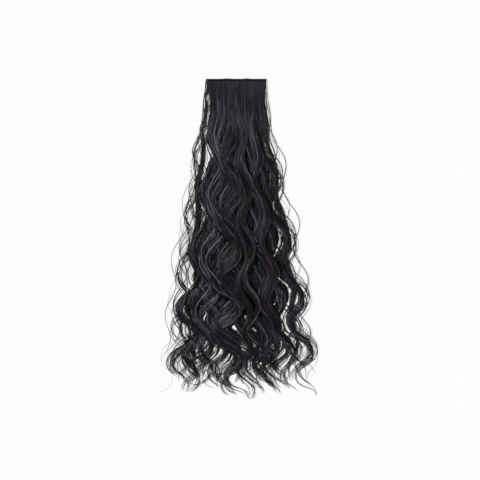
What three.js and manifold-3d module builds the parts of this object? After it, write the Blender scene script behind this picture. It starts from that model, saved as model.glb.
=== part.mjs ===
// A clip-in hair extension: long wavy hair sewn into a short weft, lying face up on a table.
// Millimetres. +X runs across the weft, +Y towards its sewn edge, +Z up from the table.
import * as THREE from "three";
import { mergeVertices } from "three/addons/utils/BufferGeometryUtils.js";
import Module from "manifold-3d";

const wasm = await Module();
wasm.setup();

// The sewn edge. Everything above the table is stacked from these.
const WEFT_WIDTH = 107;
const TRACK_TALL = 3.6; // the stitched edge, along Y
const TRACK_THICK = 4.6;
const TRACK_ROUND = 1.2; // radius of the track's long edges
const TRACK_STATIONS = 19;
const TRACK_RISE = 0.9; // how far the hair's fold pushes the edge up where it is thickest
const CLEARANCE = 0.3; // between any two pieces that touch

// The ribbon behind the roots, which carries the clips.
const RIBBON_WIDTH = 104;
const RIBBON_TALL = 18;
const RIBBON_THICK = 1;
const RIBBON_CORNER = 2;

// The two comb clips, each folded from one strip of sheet steel.
const CLIP_WIDTH = 32;
const CLIP_TALL = 14;
const CLIP_SHEET = 0.9;
const CLIP_GRIP = 1.2; // the gap that the wearer's own hair slides into
const CLIP_CORNER = 3;
const CLIP_FOLD = 2.6; // the bar along the fold, which the teeth grow from
const CLIP_RIM = 2.4; // the rim left round the plate's window
const CLIP_END = 4.8; // the rim left at each end of it, where the thread holes are
const WINDOW_CORNER = 1.6;
const CLIP_INSET = 5; // from the ribbon's end to the clip's end
const CLIP_TOP = 2; // from the ribbon's upper edge to the clip's fold
const TEETH = 7;
const TOOTH_WIDTH = 1.5;
const TOOTH_LENGTH = 9;
const THREAD_HOLE = 1.4; // diameter of the sewing holes in the plate's rim
const THREAD_HOLES = 4;

// The hair.
const HAIR_DROP = 552; // from the track down to the longest tip
const HAIR_SPREAD = 224; // across the open fan, between the middles of the outer full locks
const FAN_START = 25; // the locks hang straight to here
const FAN_FULL = 560; // and the fan would be fully open here
const HAIR_LEAN = 4; // the fan's middle drifts this far to the right by the tips
const ROOT_WIDTH = 106;
const ROOT_THICK = 3.2;
const ROOT_INSET = 6.2; // from the end of the roots to the middle of the outermost full lock
const ROOT_COVER = 0.4; // near the roots the dense middle covers the locks' undersides this much
const HAIR_SETTLE = 60; // from the track down to where the hair has come down to the table
const WAVE_LENGTH = 105;
const WAVE_SWING = 10; // half the sideways travel of a full wave
const WAVE_START = 15; // the roots are pressed straight down to here
const WAVE_FULL = 150; // and the waves have their full swing from here
const SWING_GAIN = 0.85; // by the longest tip, the waves have grown by this share again
const TIP_CURL = 0.3; // and have gained this share of a turn
const WAVE_ROUNDING = Math.PI / 4; // hair keeps its length as it bends, which rounds the crests
const LOCK_WIDTH = 25; // a full lock at its widest
const LOCK_THICK = 12;
const LIFT_END = 0.72; // share of a lifted lock's length where it starts to come down to the table
const TIP_FLICK = 20; // how far a lock's end turns aside
const FLICK_START = 0.85; // share of a lock's length where that begins
const STEPS_PER_WAVE = 5.4;
const STEP_BIAS = 0.8; // below 1, the sections lie closer together towards the tips, where the waves are tighter
const SECTION_SIDES = 5;
const NUDGE = 0.004; // share of a lock's length over which its direction is measured
const CORE_THICK = 7;
const CORE_DROP = 515; // the dense middle of the hair ends here

const WELD = 1e-4; // points closer than this are one point

// Heights above the table.
const clipHeight = 2 * CLIP_SHEET + CLIP_GRIP;
const ribbonZ = clipHeight + CLEARANCE;
const seatZ = ribbonZ + RIBBON_THICK + CLEARANCE; // what the track and the roots rest on
const rootTall = RIBBON_TALL - TRACK_TALL; // the flat sheet that every lock grows from

// root: share of half the root's width. tip: share of half the spread. drop: share of the hair's drop.
// swing and girth: shares of the full wave and of the full lock. turn: where in a wave the lock starts.
// lift: how far it rides over its neighbours, as a share of a lock's thickness. flick: share of the tip's flick.
// bow: how far the middle of its length lies aside, in full swings. Both go to the right where they are above 0.
const LOCKS = [
  { root: -0.97, tip: -0.94, drop: 0.94, swing: 1.1, girth: 0.5, turn: 0.08, lift: 0, flick: -0.9, bow: 1.2 },
  { root: -0.8, tip: -0.76, drop: 0.98, swing: 1, girth: 0.75, turn: 0, lift: 0, flick: -0.6, bow: 0.6 },
  { root: -0.6, tip: -0.5, drop: 0.99, swing: 1, girth: 0.9, turn: 0.82, lift: 0, flick: -0.9, bow: 0 },
  { root: -0.41, tip: -0.32, drop: 0.99, swing: 1.1, girth: 1, turn: 0.36, lift: 0, flick: 0.5, bow: 0 },
  { root: -0.19, tip: -0.1, drop: 1, swing: 1.15, girth: 1, turn: 0.47, lift: 0, flick: 0.7, bow: 0 },
  { root: 0.04, tip: 0.1, drop: 1, swing: 0.9, girth: 1, turn: 0.3, lift: 0, flick: 1, bow: 0 },
  { root: 0.27, tip: 0.3, drop: 0.97, swing: 0.8, girth: 1, turn: 0.15, lift: 0, flick: 0.8, bow: 0 },
  { root: 0.5, tip: 0.5, drop: 0.99, swing: 0.8, girth: 0.9, turn: 0.2, lift: 0, flick: 0.5, bow: 0 },
  { root: 0.72, tip: 0.74, drop: 0.97, swing: 0.85, girth: 0.8, turn: 0.32, lift: 0, flick: -0.6, bow: -0.4 },
  { root: 0.95, tip: 1.04, drop: 0.97, swing: 1.05, girth: 0.5, turn: 0.39, lift: 0, flick: -0.3, bow: -0.1 },
  { root: -0.56, tip: -0.56, drop: 0.94, swing: 0.9, girth: 0.9, turn: 0.22, lift: 0.7, flick: -0.3, bow: 0 },
  { root: -0.2, tip: -0.2, drop: 0.96, swing: 1.2, girth: 0.95, turn: 0.47, lift: 1, flick: 0.4, bow: 0 },
  { root: 0.2, tip: 0.2, drop: 0.96, swing: 0.8, girth: 0.95, turn: 0.62, lift: 1.1, flick: 0.4, bow: 0 },
  { root: 0.56, tip: 0.58, drop: 0.95, swing: 0.7, girth: 0.9, turn: 0.9, lift: 0.7, flick: -0.4, bow: 0 },
  { root: -1.06, tip: -0.96, drop: 0.92, swing: 1, girth: 0.26, turn: 0.45, lift: 0, flick: 0, bow: -0.9 },
  { root: 1.06, tip: 1.12, drop: 0.93, swing: 0.9, girth: 0.26, turn: 0.3, lift: 0, flick: -0.5, bow: 0.6 },
];

// A lock's width and thickness along its length, as shares of its full size.
const LOCK_TAPER = [
  { at: 0, width: 0.48, thick: 0.34 },
  { at: 0.12, width: 0.6, thick: 0.56 },
  { at: 0.4, width: 0.86, thick: 0.9 },
  { at: 0.7, width: 1, thick: 1 },
  { at: 0.9, width: 0.72, thick: 0.65 },
  { at: 1, width: 0.12, thick: 0.15 },
];

// The dense middle's width and thickness along its length, as shares.
const CORE_TAPER = [
  { at: 0, width: 1, thick: 0.45 },
  { at: 0.35, width: 1, thick: 1 },
  { at: 0.8, width: 1, thick: 1 },
  { at: 0.93, width: 0.82, thick: 0.8 },
  { at: 1, width: 0.3, thick: 0.3 },
];

// Where the fold lifts the sewn edge, as shares of half the weft's width.
const EDGE_FOLDS = [
  { at: -0.3, reach: 0.16, rise: 0.8 },
  { at: 0.34, reach: 0.1, rise: 1 },
];

const FABRIC_BLACK = { color: 0x1b1a1d, roughness: 0.85, metalness: 0 };
const HAIR_BLACK = { color: 0x17161a, roughness: 0.42, metalness: 0 };
const CLIP_BLACK = { color: 0x0f0f10, roughness: 0.3, metalness: 0.6 };

function smooth(from, to, value) {
  return THREE.MathUtils.smoothstep(value, from, to);
}

// Reads a column of a table whose rows are at rising shares, going straight from row to row.
function tableAt(table, column, share) {
  const next = Math.max(1, table.findIndex((row) => row.at >= share));
  const [a, b] = [table[next - 1], table[next]];
  return THREE.MathUtils.mapLinear(share, a.at, b.at, a[column], b[column]);
}

// A closed body through rings of points, all with the same number of points.
function loft(rings) {
  const count = rings[0].length;
  const points = rings.flat();
  const faces = [];
  for (let r = 0; r + 1 < rings.length; r++) {
    for (let i = 0; i < count; i++) {
      const [a, b] = [r * count + i, r * count + ((i + 1) % count)];
      faces.push(a, b, b + count, a, b + count, a + count);
    }
  }
  const last = (rings.length - 1) * count;
  for (let i = 1; i + 1 < count; i++) {
    faces.push(0, i + 1, i, last, last + i, last + i + 1);
  }
  const geometry = new THREE.BufferGeometry();
  const positions = points.flatMap((p) => [p.x, p.y, p.z]);
  geometry.setAttribute("position", new THREE.Float32BufferAttribute(positions, 3));
  geometry.setIndex(faces);
  return geometry;
}

function solid(geometry) {
  const bare = geometry.clone();
  bare.deleteAttribute("normal");
  bare.deleteAttribute("uv");
  const merged = mergeVertices(bare, WELD);
  return new wasm.Manifold(new wasm.Mesh({
    numProp: 3,
    vertProperties: new Float32Array(merged.attributes.position.array),
    triVerts: new Uint32Array(merged.index.array),
  }));
}

function geometryOf(manifold) {
  const mesh = manifold.getMesh();
  const geometry = new THREE.BufferGeometry();
  geometry.setAttribute("position", new THREE.BufferAttribute(mesh.vertProperties, 3));
  geometry.setIndex(new THREE.BufferAttribute(mesh.triVerts, 1));
  return geometry;
}

function node(name, geometry, finish) {
  geometry.computeVertexNormals();
  const mesh = new THREE.Mesh(geometry, new THREE.MeshStandardMaterial(finish));
  mesh.name = name;
  return mesh;
}

function roundedOutline(width, tall, corner, left = -width / 2, bottom = -tall / 2) {
  const [right, top] = [left + width, bottom + tall];
  const shape = new THREE.Shape();
  shape.moveTo(left + corner, bottom);
  shape.lineTo(right - corner, bottom);
  shape.absarc(right - corner, bottom + corner, corner, -Math.PI / 2, 0);
  shape.lineTo(right, top - corner);
  shape.absarc(right - corner, top - corner, corner, 0, Math.PI / 2);
  shape.lineTo(left + corner, top);
  shape.absarc(left + corner, top - corner, corner, Math.PI / 2, Math.PI);
  shape.lineTo(left, bottom + corner);
  shape.absarc(left + corner, bottom + corner, corner, Math.PI, 1.5 * Math.PI);
  return shape;
}

function sheet(shape, thickness, curveSegments) {
  return new THREE.ExtrudeGeometry(shape, { depth: thickness, bevelEnabled: false, curveSegments });
}

// The stitched edge: a rounded bar whose upper edge rises a little where the hair is folded thickest.
function buildTrack() {
  const rings = [];
  for (let s = 0; s < TRACK_STATIONS; s++) {
    const share = THREE.MathUtils.lerp(-1, 1, s / (TRACK_STATIONS - 1));
    const rise = EDGE_FOLDS.reduce(
      (sum, fold) => sum + fold.rise * TRACK_RISE * Math.exp(-(((share - fold.at) / fold.reach) ** 2)),
      0,
    );
    rings.push(trackSection(rise).map(([y, z]) => new THREE.Vector3((share * WEFT_WIDTH) / 2, y, z)));
  }
  return loft(rings);
}

function trackSection(rise) {
  const outline = roundedOutline(TRACK_TALL + rise, TRACK_THICK, TRACK_ROUND, -TRACK_TALL, seatZ);
  return outline.getPoints(1).slice(0, -1).map((p) => [p.x, p.y]);
}

function buildRibbon() {
  const outline = roundedOutline(RIBBON_WIDTH, RIBBON_TALL, RIBBON_CORNER);
  return sheet(outline, RIBBON_THICK, 3).translate(0, -RIBBON_TALL / 2, ribbonZ);
}

// One clip, with its fold at the top: a windowed plate above, and a comb of teeth below it.
function buildClip() {
  const plateOutline = roundedOutline(CLIP_WIDTH, CLIP_TALL, CLIP_CORNER, -CLIP_WIDTH / 2, -CLIP_TALL);
  const windowTall = CLIP_TALL - CLIP_FOLD - 2 * CLIP_RIM;
  plateOutline.holes.push(roundedOutline(
    CLIP_WIDTH - 2 * CLIP_END, windowTall, WINDOW_CORNER,
    -CLIP_WIDTH / 2 + CLIP_END, -CLIP_TALL + CLIP_RIM,
  ));
  for (const [x, y] of threadHoles()) {
    const radius = THREAD_HOLE / 2;
    plateOutline.holes.push(roundedOutline(THREAD_HOLE, THREAD_HOLE, radius, x - radius, y - radius));
  }
  const plate = solid(sheet(plateOutline, CLIP_SHEET, 1).translate(0, 0, CLIP_SHEET + CLIP_GRIP));

  const combWidth = CLIP_WIDTH - 2 * CLIP_CORNER;
  const fold = solid(new THREE.BoxGeometry(combWidth, CLIP_SHEET, clipHeight)
    .translate(0, -CLIP_SHEET / 2, clipHeight / 2));
  const bar = solid(new THREE.BoxGeometry(combWidth, CLIP_FOLD, CLIP_SHEET)
    .translate(0, -CLIP_FOLD / 2, CLIP_SHEET / 2));
  let clip = plate.add(fold).add(bar);
  for (let i = 0; i < TEETH; i++) {
    const x = THREE.MathUtils.lerp(-1, 1, i / (TEETH - 1)) * (combWidth - TOOTH_WIDTH) / 2;
    clip = clip.add(solid(buildTooth().translate(x, 0, 0)));
  }
  return geometryOf(clip);
}

function threadHoles() {
  const places = [];
  for (let i = 0; i < THREAD_HOLES; i++) {
    const side = i % 2 ? 1 : -1;
    const x = side * (CLIP_WIDTH - CLIP_END) / 2;
    const y = i < 2 ? -CLIP_CORNER - THREAD_HOLE : -CLIP_TALL + CLIP_CORNER + THREAD_HOLE;
    places.push([x, y]);
  }
  return places;
}

function buildTooth() {
  const radius = TOOTH_WIDTH / 2;
  const shape = new THREE.Shape();
  shape.moveTo(radius, -CLIP_FOLD / 2);
  shape.lineTo(-radius, -CLIP_FOLD / 2);
  shape.lineTo(-radius, -CLIP_FOLD - TOOTH_LENGTH + radius);
  shape.absarc(0, -CLIP_FOLD - TOOTH_LENGTH + radius, radius, Math.PI, 2 * Math.PI);
  return sheet(shape, CLIP_SHEET, 2);
}

// The hair comes down from the ribbon to the table over this stretch.
function undersideZ(drop) {
  return seatZ * (1 - smooth(rootTall, HAIR_SETTLE, drop));
}

function lockMiddle(lock, share) {
  const depth = share * lock.drop;
  const drop = depth * HAIR_DROP;
  const from = lock.root * (ROOT_WIDTH / 2 - ROOT_INSET);
  const to = HAIR_LEAN + (lock.tip * HAIR_SPREAD) / 2;
  const fan = smooth(FAN_START, FAN_FULL, drop);
  const bow = lock.bow * WAVE_SWING * Math.sin(Math.PI * share);
  const grown = smooth(WAVE_START, WAVE_FULL, drop) * (1 + SWING_GAIN * depth ** 2);
  const swing = lock.swing * WAVE_SWING * grown;
  const turn = 2 * Math.PI * (drop / WAVE_LENGTH + TIP_CURL * depth ** 5 - lock.turn);
  const flick = lock.flick * TIP_FLICK * smooth(FLICK_START, 1, share);
  const x = from + (to - from) * fan + bow + swing * Math.sin(turn) + flick;
  const rounding = ((WAVE_ROUNDING * swing ** 2) / WAVE_LENGTH) * Math.sin(2 * turn);
  return new THREE.Vector2(x, -TRACK_TALL - CLEARANCE - drop + rounding);
}

function lockRing(lock, share) {
  const middle = lockMiddle(lock, share);
  const ahead = lockMiddle(lock, share + NUDGE).sub(lockMiddle(lock, share - NUDGE)).normalize();
  const drop = share * lock.drop * HAIR_DROP;
  const halfWidth = (lock.girth * LOCK_WIDTH * tableAt(LOCK_TAPER, "width", share)) / 2;
  const thick = lock.girth * LOCK_THICK * tableAt(LOCK_TAPER, "thick", share);
  const hump = smooth(WAVE_START, WAVE_FULL, drop) * (1 - smooth(LIFT_END, 1, share));
  const inside = ROOT_COVER * (1 - smooth(HAIR_SETTLE, WAVE_FULL, drop));
  const bottom = undersideZ(drop) + inside + lock.lift * LOCK_THICK * hump;
  return sectionRing(middle, ahead, halfWidth, thick, bottom);
}

// A ridge with a flat foot, square to the way the hair runs. It has an odd number of sides.
function sectionRing(middle, ahead, halfWidth, thick, bottom) {
  const foot = Math.cos(Math.PI / SECTION_SIDES);
  const widest = Math.cos(Math.PI / 2 / SECTION_SIDES);
  const ring = [];
  for (let i = 0; i < SECTION_SIDES; i++) {
    const angle = Math.PI / 2 + (2 * Math.PI * i) / SECTION_SIDES;
    const aside = (halfWidth * Math.cos(angle)) / widest;
    const up = (thick * (Math.sin(angle) + foot)) / (1 + foot);
    ring.push(new THREE.Vector3(middle.x - ahead.y * aside, middle.y + ahead.x * aside, bottom + up));
  }
  return ring;
}

// Shares of a length: its start, the ribbon's end, where the hair lies on the table, and steps from there down.
function stationShares(length, step) {
  const drops = [0, rootTall, (rootTall + HAIR_SETTLE) / 2];
  const count = Math.ceil((length - HAIR_SETTLE) / step);
  for (let s = 0; s <= count; s++) {
    drops.push(THREE.MathUtils.lerp(HAIR_SETTLE, length, (s / count) ** STEP_BIAS));
  }
  return drops.map((drop) => drop / length);
}

function buildLock(lock) {
  const shares = stationShares(lock.drop * HAIR_DROP, WAVE_LENGTH / STEPS_PER_WAVE);
  return loft(shares.map((share) => lockRing(lock, share)));
}

// The flat sheet of hair under the track.
function buildRoots() {
  return new THREE.BoxGeometry(ROOT_WIDTH, rootTall, ROOT_THICK)
    .translate(0, -TRACK_TALL - CLEARANCE - rootTall / 2, seatZ + ROOT_THICK / 2);
}

// The dense middle, as wide as the locks that it lies between.
function buildCore() {
  const [first, last] = [LOCKS[1], LOCKS[8]];
  const rings = [];
  for (const share of stationShares(CORE_DROP, (2 * WAVE_LENGTH) / STEPS_PER_WAVE)) {
    const drop = share * CORE_DROP;
    const left = lockMiddle(first, drop / (first.drop * HAIR_DROP));
    const right = lockMiddle(last, drop / (last.drop * HAIR_DROP));
    const middle = left.clone().add(right).multiplyScalar(0.5);
    const halfWidth = (tableAt(CORE_TAPER, "width", share) * (right.x - left.x)) / 2;
    const thick = CORE_THICK * tableAt(CORE_TAPER, "thick", share);
    rings.push(sectionRing(middle, new THREE.Vector2(0, -1), halfWidth, thick, undersideZ(drop)));
  }
  return loft(rings);
}

function buildHair() {
  let hair = solid(buildRoots()).add(solid(buildCore()));
  for (const lock of LOCKS) {
    hair = hair.add(solid(buildLock(lock)));
  }
  return geometryOf(withHollowsFilled(hair));
}

// Crossing locks shut in small spaces. Each is a body of its own with its faces turned inwards.
function withHollowsFilled(body) {
  const outer = body.decompose().filter((piece) => piece.volume() > 0);
  return outer.reduce((joined, piece) => joined.add(piece));
}

const extension = new THREE.Group();
extension.add(node("weft_track", buildTrack(), FABRIC_BLACK));
extension.add(node("hair_locks", buildHair(), HAIR_BLACK));
extension.add(node("backing_ribbon", buildRibbon(), FABRIC_BLACK));
for (const [name, side] of [["clip_left", -1], ["clip_right", 1]]) {
  const clip = node(name, buildClip(), CLIP_BLACK);
  clip.position.set(side * (RIBBON_WIDTH / 2 - CLIP_INSET - CLIP_WIDTH / 2), -CLIP_TOP, 0);
  extension.add(clip);
}

// The origin is on the table, under the middle of the whole extension.
const bounds = new THREE.Box3().setFromObject(extension);
const centre = bounds.getCenter(new THREE.Vector3());
extension.position.set(-centre.x, -centre.y, -bounds.min.z);

export default extension;
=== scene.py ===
import math
import random

import bpy
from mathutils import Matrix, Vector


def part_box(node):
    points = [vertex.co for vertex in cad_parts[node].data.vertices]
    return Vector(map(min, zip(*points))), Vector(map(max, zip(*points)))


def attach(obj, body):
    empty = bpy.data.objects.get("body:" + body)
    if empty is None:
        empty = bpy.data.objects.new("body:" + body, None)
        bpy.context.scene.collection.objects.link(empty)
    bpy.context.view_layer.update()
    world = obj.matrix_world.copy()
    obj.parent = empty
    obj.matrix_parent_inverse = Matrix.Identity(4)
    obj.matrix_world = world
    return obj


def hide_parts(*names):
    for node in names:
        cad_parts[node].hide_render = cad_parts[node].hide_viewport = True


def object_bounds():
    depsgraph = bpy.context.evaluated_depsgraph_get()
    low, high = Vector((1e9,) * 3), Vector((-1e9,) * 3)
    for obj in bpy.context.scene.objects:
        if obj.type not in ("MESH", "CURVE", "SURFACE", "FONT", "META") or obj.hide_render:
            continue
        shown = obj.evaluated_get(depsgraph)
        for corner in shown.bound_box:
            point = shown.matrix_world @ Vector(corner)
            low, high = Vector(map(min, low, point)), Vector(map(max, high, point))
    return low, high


# %% [markdown]
# A clip-in hair extension lies face up on a pale table and is photographed from straight above. Its
# solids are already made at their real size. This lesson dresses them: loose strands of hair, the sewn
# edge that holds them, the ribbon behind it and two comb clips. First the solids are loaded and measured,
# because every piece below is placed by them.

# %% Load the solids and measure them
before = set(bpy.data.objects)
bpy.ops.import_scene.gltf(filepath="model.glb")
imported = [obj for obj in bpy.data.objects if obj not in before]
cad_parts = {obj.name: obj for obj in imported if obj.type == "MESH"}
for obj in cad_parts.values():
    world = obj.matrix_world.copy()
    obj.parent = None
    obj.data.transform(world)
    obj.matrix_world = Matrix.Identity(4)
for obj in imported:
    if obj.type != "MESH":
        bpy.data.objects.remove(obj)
SOLID_BOX = [list(corner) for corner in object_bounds()]
MM = 0.001
track_low, track_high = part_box("weft_track")
ribbon_low, ribbon_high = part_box("backing_ribbon")
EDGE_X = (track_low[0] + track_high[0]) / 2
EDGE_Y = ribbon_high[1]
weft_width = round((track_high[0] - track_low[0]) / MM)
print("the sewn edge is", weft_width, "mm wide and lies", round(track_low[2] / MM, 1), "mm above the table")

# %% [markdown]
# The camera stands 2.6 m above the table and looks straight down. A picture of 480 pixels takes in 0.84 m
# there, so the weft is 61 pixels wide. The middle of the picture lies a little to the right of the weft's
# middle and 282 mm below its upper edge.

# %% Camera
PICTURE_WIDTH = 840 * MM
CAMERA_HEIGHT = 2.6
PICTURE_ASIDE = 6.1 * MM
PICTURE_BELOW = 281.7 * MM
FARTHEST_SEEN = 50


def new_object(name, data):
    """A new object in the scene."""
    thing = bpy.data.objects.new(name, data)
    bpy.context.scene.collection.objects.link(thing)
    return thing


camera = new_object("camera", bpy.data.cameras.new("camera"))
camera.location = (EDGE_X + PICTURE_ASIDE, EDGE_Y - PICTURE_BELOW, CAMERA_HEIGHT)
camera.data.lens = camera.data.sensor_width * CAMERA_HEIGHT / PICTURE_WIDTH
camera.data.clip_end = FARTHEST_SEEN
bpy.context.scene.camera = camera
print("lens", round(camera.data.lens), "mm")

# %% [markdown]
# A product photo of black hair needs a white table and wide, soft light. The table glows just below
# white, because a table lit to pure white would swallow the thin strands in front of it. Two suns with a
# wide disc stand for big softboxes, as a sun lights the whole table evenly: the key light comes from
# beyond the weft, on the left, and gives the waves their satin bands, and the fill comes from beside the
# tips. The plain view transform keeps the table white and the hair nearly black, as the camera saw them.

# %% Table and light
TABLE_SIZE = 12.0
TABLE_COLOR = (0.15, 0.147, 0.149, 1)
GLOW_COLOR = (1, 0.983, 0.992, 1)
GLOW_STRENGTH = 0.785
SKY_COLOR = (1.0, 1.0, 1.0, 1)
SKY_STRENGTH = 0.12


def dial(node, settings):
    """Sets a node's own inputs, by name or number."""
    for title, value in settings.items():
        node.inputs[title].default_value = value


def new_material(name):
    """A material with nodes, and its shader."""
    material = bpy.data.materials.new(name)
    material.use_nodes = True
    return material, material.node_tree.nodes["Principled BSDF"]


def table_material():
    """A light table: it glows, so that shadows stay pale, and reflects only a little."""
    material, shader = new_material("white light table")
    dial(shader, {"Base Color": TABLE_COLOR, "Roughness": 1.0, "Specular IOR Level": 0.0})
    dial(shader, {"Emission Color": GLOW_COLOR, "Emission Strength": GLOW_STRENGTH})
    return material


def add_table():
    half = TABLE_SIZE / 2
    mesh = bpy.data.meshes.new("table")
    corners = [(-half, -half, 0), (half, -half, 0), (half, half, 0), (-half, half, 0)]
    mesh.from_pydata(corners, [], [(0, 1, 2, 3)])
    mesh.materials.append(table_material())
    new_object("table", mesh)


def add_sun(name, heading, height, disc, strength):
    """A soft sun. Its heading round the table, height over the horizon and disc are in degrees."""
    data = bpy.data.lights.new(name, "SUN")
    data.angle = math.radians(disc)
    data.energy = strength
    new_object(name, data).rotation_euler = (0, math.radians(90 - height), math.radians(heading))


def add_sky(strength):
    world = bpy.data.worlds.new("sky")
    world.use_nodes = True
    dial(world.node_tree.nodes["Background"], {"Color": SKY_COLOR, "Strength": strength})
    bpy.context.scene.world = world


add_table()
add_sky(SKY_STRENGTH)
add_sun("key light", heading=145, height=50, disc=12, strength=4.35)
add_sun("fill light", heading=-30, height=55, disc=40, strength=0.6)
bpy.context.scene.view_settings.view_transform = "Standard"
print("a glowing table", TABLE_SIZE, "m wide, lit by", len(bpy.data.lights), "soft suns")

# %% [markdown]
# The hair follows the same rule as the solids: a lock starts at its place on the weft, goes straight
# down, fans out and swings from side to side in waves that grow over the first 150 mm. Each lock is a
# row. Its root and tip are places across the weft and across the spread hair, from -1 at the left to 1.
# Its drop, swing and girth are shares of a full lock's. Its turn shifts the waves by a part of a wave,
# its lift raises it by so many lock thicknesses, and flick and bow bend its tip and its middle aside.

# %% Sizes and locks
HAIR_DROP = 552 * MM
HAIR_SPREAD = 224 * MM
HAIR_LEAN = 4 * MM
FAN_START = 25 * MM
FAN_FULL = 560 * MM
ROOT_HALF = 46.8 * MM
RIBBON_END = 14.4 * MM
HAIR_SETTLE = 60 * MM
WAVE_LENGTH = 105 * MM
WAVE_SWING = 10 * MM
WAVE_START = 15 * MM
WAVE_FULL = 150 * MM
SWING_GAIN = 0.85
TIP_CURL = 0.3
LOCK_WIDTH = 25 * MM
LOCK_THICK = 12 * MM
LIFT_END = 0.72
TIP_FLICK = 20 * MM
FLICK_START = 0.85
SEAT = track_low[2]

COLUMNS = ("root", "tip", "drop", "swing", "girth", "turn", "lift", "flick", "bow")
LOCKS = [
    (-0.97, -0.94, 0.94, 1.10, 0.50, 0.08, 0.0, -0.9, 1.2),
    (-0.80, -0.76, 0.98, 1.00, 0.75, 0.00, 0.0, -0.6, 0.6),
    (-0.60, -0.50, 0.99, 1.00, 0.90, 0.82, 0.0, -0.9, 0.0),
    (-0.41, -0.32, 0.99, 1.10, 1.00, 0.36, 0.0, 0.5, 0.0),
    (-0.19, -0.10, 1.00, 1.15, 1.00, 0.47, 0.0, 0.7, 0.0),
    (0.04, 0.10, 1.00, 0.90, 1.00, 0.30, 0.0, 1.0, 0.0),
    (0.27, 0.30, 0.97, 0.80, 1.00, 0.15, 0.0, 0.8, 0.0),
    (0.50, 0.50, 0.99, 0.80, 0.90, 0.20, 0.0, 0.5, 0.0),
    (0.72, 0.74, 0.97, 0.85, 0.80, 0.32, 0.0, -0.6, -0.4),
    (0.95, 1.04, 0.97, 1.05, 0.50, 0.39, 0.0, -0.3, -0.1),
    (-0.56, -0.56, 0.94, 0.90, 0.90, 0.22, 0.7, -0.3, 0.0),
    (-0.20, -0.20, 0.96, 1.20, 0.95, 0.47, 1.0, 0.4, 0.0),
    (0.20, 0.20, 0.96, 0.80, 0.95, 0.62, 1.1, 0.4, 0.0),
    (0.56, 0.58, 0.95, 0.70, 0.90, 0.90, 0.7, -0.4, 0.0),
    (-1.06, -0.96, 0.92, 1.00, 0.26, 0.45, 0.0, 0.0, -0.9),
    (1.06, 1.12, 0.93, 0.90, 0.26, 0.30, 0.0, -0.5, 0.6),
]

# How wide and how thick a lock is, in shares, from its root at 0 to its tip at 1.
WIDTH_TAPER = [(0, 0.48), (0.12, 0.6), (0.4, 0.86), (0.7, 1), (0.9, 0.72), (1, 0.16)]
DEPTH_TAPER = [(0, 0.34), (0.12, 0.56), (0.4, 0.9), (0.7, 1), (0.9, 0.65), (1, 0.15)]
print(len(LOCKS), "locks")

# %% [markdown]
# A geometry node tree that follows a formula soon has dozens of Math nodes, and wiring them one by one
# hides the formula. So a small class lets a socket be used like a number: adding two of them adds a Math
# node and returns its result. A tree then reads as the sum that it is. Materials use it as well.

# %% Numbers that differ from point to point

class Field:
    """A value that may differ at every point, held by a socket of a node tree."""

    def __init__(self, group, socket):
        self.group = group
        self.socket = socket

    def math(self, operation, *others):
        return add_node(self.group, "ShaderNodeMath", dict(enumerate((self, *others))), operation=operation)

    def __add__(self, other):
        return self.math("ADD", other)

    def __sub__(self, other):
        return self.math("SUBTRACT", other)

    def __mul__(self, other):
        return self.math("MULTIPLY", other)

    def __truediv__(self, other):
        return self.math("DIVIDE", other)

    def __pow__(self, other):
        return self.math("POWER", other)

    def __rsub__(self, other):
        return (self * -1) + other

    __radd__ = __add__
    __rmul__ = __mul__

    def wave(self):
        """The sine of this many whole turns."""
        return (self * math.tau).math("SINE")

    def smooth(self, start, end):
        """0 below start, 1 above end, and a smooth rise between them."""
        fed = {"Value": self, "From Min": start, "From Max": end}
        return add_node(self.group, "ShaderNodeMapRange", fed, interpolation_type="SMOOTHSTEP")


def feed(slot, value):
    """Links a field to a slot, or sets the slot to a plain value."""
    if isinstance(value, Field):
        value.group.links.new(value.socket, slot)
    else:
        slot.default_value = value


def add_node(group, kind, fed=None, out=0, **settings):
    """Adds a node, sets it up, feeds its inputs by name or number and returns one of its outputs."""
    node = group.nodes.new(kind)
    for setting, value in settings.items():
        setattr(node, setting, value)
    for slot, value in (fed or {}).items():
        feed(node.inputs[slot], value)
    return Field(group, node.outputs[out])


print(Field.__name__, "values can be added, multiplied and fed to a socket")

# %% [markdown]
# The tree is a class too. It names its inputs, keeps their values, and holds the few steps that all trees
# here share: numbers drawn at random for each strand, straight lines to bend, and tubes round them. When
# it is run, the result becomes a plain mesh and the modifier goes, because an export drops instances and
# live trees.

# %% A tree with named inputs
SOCKETS = {float: "NodeSocketFloat", int: "NodeSocketInt", bpy.types.Material: "NodeSocketMaterial"}
OWN_DRAW = 50


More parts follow.
